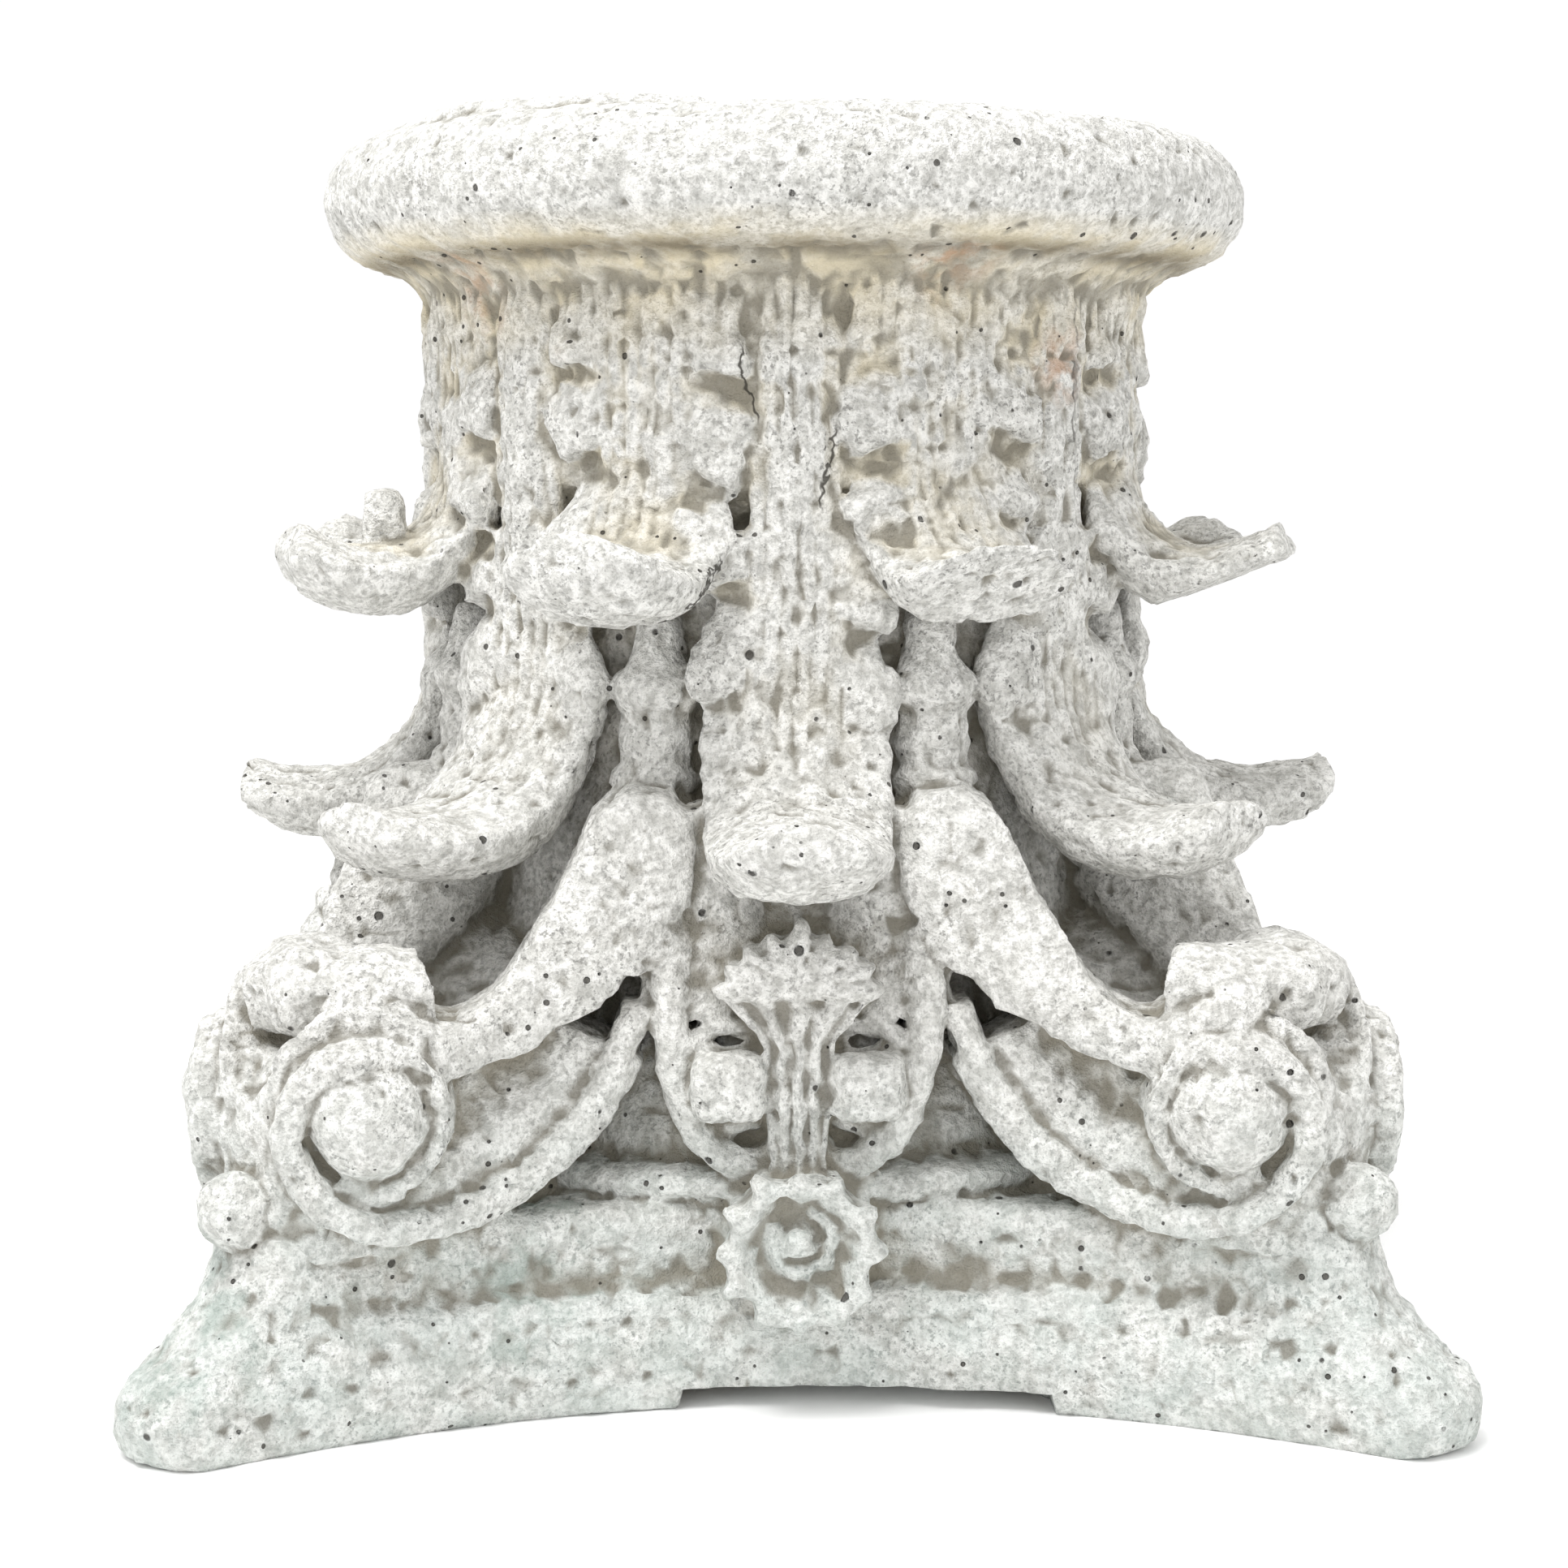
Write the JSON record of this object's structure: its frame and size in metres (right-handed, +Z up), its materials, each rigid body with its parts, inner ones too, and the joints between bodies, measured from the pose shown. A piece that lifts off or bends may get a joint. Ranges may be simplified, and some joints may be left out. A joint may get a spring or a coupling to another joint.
{
  "type": "corinthian capital",
  "caption": "Weathered cast stone Corinthian capital, upside down on its concave-sided abacus with the round moulding on top.",
  "frame": {"origin": "middle of the underside of the abacus, on the floor", "axes": "+Z up as it lies, from the abacus toward the bed of its column; one face of the abacus looks toward -Y"},
  "size_m": [0.457, 0.457, 0.4597],
  "materials": {
    "cast_stone": "rough"
  },
  "bodies": {
    "root": {"capital": "cast_stone"}
  },
  "joints": []
}
